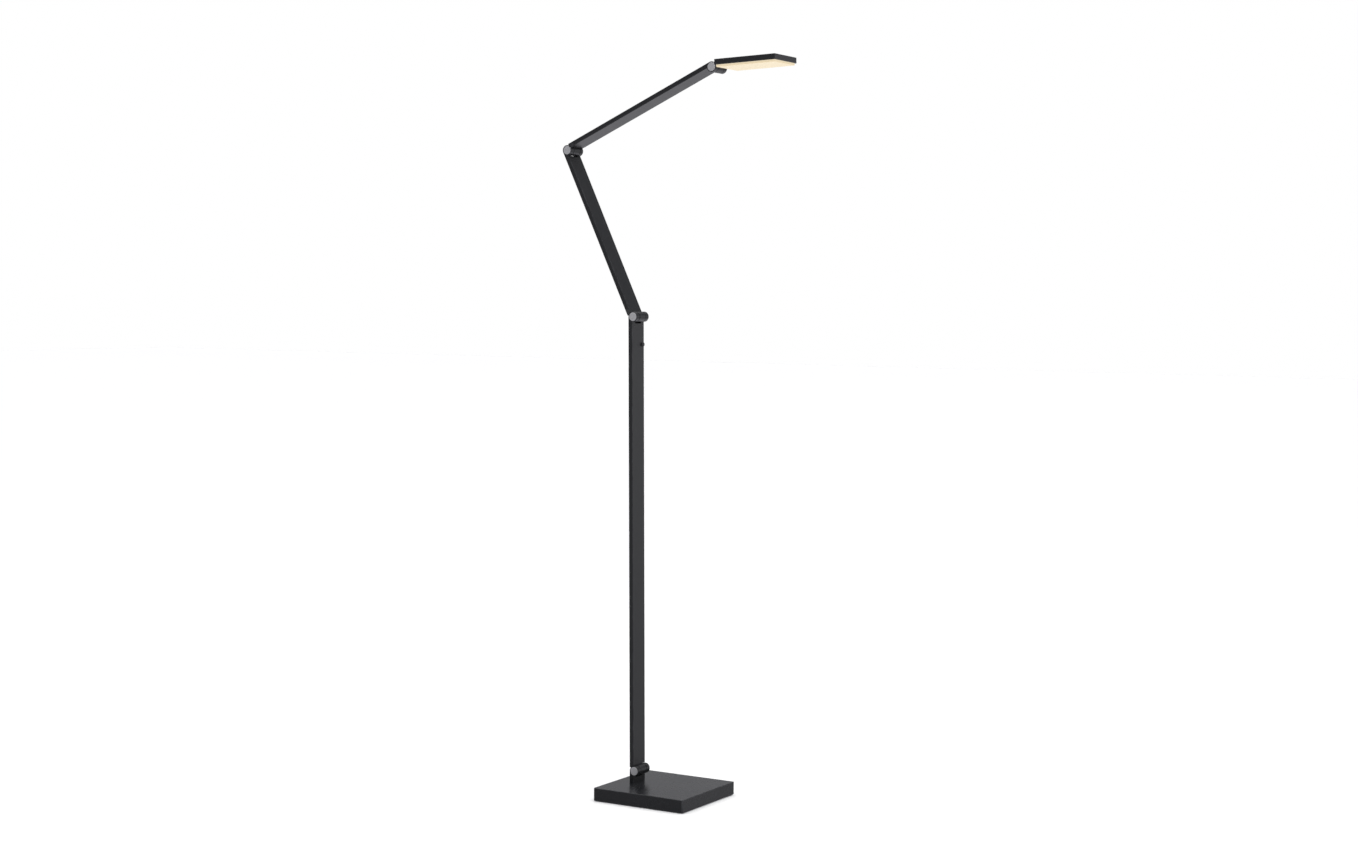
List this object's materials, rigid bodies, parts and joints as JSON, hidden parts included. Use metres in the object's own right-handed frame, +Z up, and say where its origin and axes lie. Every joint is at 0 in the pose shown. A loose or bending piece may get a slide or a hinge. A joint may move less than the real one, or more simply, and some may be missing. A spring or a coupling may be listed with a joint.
{
  "type": "floor lamp",
  "caption": "Adjustable floor lamp: square weighted base, flat-bar column and two flat-bar arms on friction hinges, slim rectangular LED head.",
  "frame": {"origin": "centre of the square face that the lamp stands on", "axes": "+Z up, +X the way the arms and head reach at rest, Y along the hinge axes"},
  "size_m": [0.555, 0.23, 1.641],
  "materials": {
    "base_paint": "satin",
    "link_paint": "satin",
    "end_cap": "satin",
    "steel": "satin",
    "weight": "matte",
    "pad": "matte",
    "washer": "satin",
    "black_plastic": "satin",
    "switch_board": "satin",
    "led_board": "satin",
    "reflector": "gloss",
    "diffuser": "satin"
  },
  "bodies": {
    "base": {"base_cover": "base_paint", "base_hinge_axle": "steel", "base_hinge_end_cap_left": "end_cap", "base_hinge_end_cap_right": "end_cap", "base_hinge_friction_washer_left": "washer", "base_hinge_friction_washer_right": "washer", "base_hinge_nut": "steel", "base_pad": "pad", "base_post": "base_paint", "base_weight": "weight", "post_screw_left": "steel", "post_screw_right": "steel", "power_inlet": "black_plastic"},
    "column": {"column_hinge_axle": "steel", "column_hinge_end_cap_left": "end_cap", "column_hinge_end_cap_right": "end_cap", "column_hinge_friction_washer_left": "washer", "column_hinge_friction_washer_right": "washer", "column_hinge_nut": "steel", "column_lower_fitting": "link_paint", "column_lower_grub_screw": "steel", "column_tube": "link_paint", "column_upper_fitting": "link_paint", "column_upper_grub_screw": "steel", "dimmer_switch": "black_plastic", "dimmer_switch_board": "switch_board"},
    "dimmer_button": {"dimmer_button": "link_paint"},
    "lower_arm": {"elbow_hinge_axle": "steel", "elbow_hinge_end_cap_left": "end_cap", "elbow_hinge_end_cap_right": "end_cap", "elbow_hinge_friction_washer_left": "washer", "elbow_hinge_friction_washer_right": "washer", "elbow_hinge_nut": "steel", "lower_arm_lower_fitting": "link_paint", "lower_arm_lower_grub_screw": "steel", "lower_arm_tube": "link_paint", "lower_arm_upper_fitting": "link_paint", "lower_arm_upper_grub_screw": "steel"},
    "upper_arm": {"head_hinge_axle": "steel", "head_hinge_end_cap_left": "end_cap", "head_hinge_end_cap_right": "end_cap", "head_hinge_friction_washer_left": "washer", "head_hinge_friction_washer_right": "washer", "head_hinge_nut": "steel", "upper_arm_lower_fitting": "link_paint", "upper_arm_lower_grub_screw": "steel", "upper_arm_tube": "link_paint", "upper_arm_upper_fitting": "link_paint", "upper_arm_upper_grub_screw": "steel"},
    "head": {"diffuser": "diffuser", "head_bracket": "link_paint", "head_housing": "link_paint", "led_board": "led_board", "neck_screw_left": "steel", "neck_screw_right": "steel", "reflector_frame": "reflector"}
  },
  "joints": [
    {"name": "base_hinge", "type": "hinge", "parent": "base", "child": "column", "pos_m": [-0.0655, 0, 0.057], "axis": [0, 1, 0], "range_deg": [-15, 40]},
    {"name": "column_hinge", "type": "hinge", "parent": "column", "child": "lower_arm", "pos_m": [-0.07976, 0, 1.0779], "axis": [0, 1, 0], "range_deg": [-25, 85]},
    {"name": "elbow_hinge", "type": "hinge", "parent": "lower_arm", "child": "upper_arm", "pos_m": [-0.25864, 0, 1.45126], "axis": [0, 1, 0], "range_deg": [-121, 39]},
    {"name": "head_hinge", "type": "hinge", "parent": "upper_arm", "child": "head", "pos_m": [0.11506, 0, 1.62235], "axis": [0, 1, 0], "range_deg": [-70, 85]},
    {"name": "dimmer_press", "type": "slide", "parent": "column", "child": "dimmer_button", "axis": [-0.9999, 0, -0.014], "range_m": [0, 0.0015], "stiffness_N_per_m": 700, "springref_m": -0.001}
  ]
}
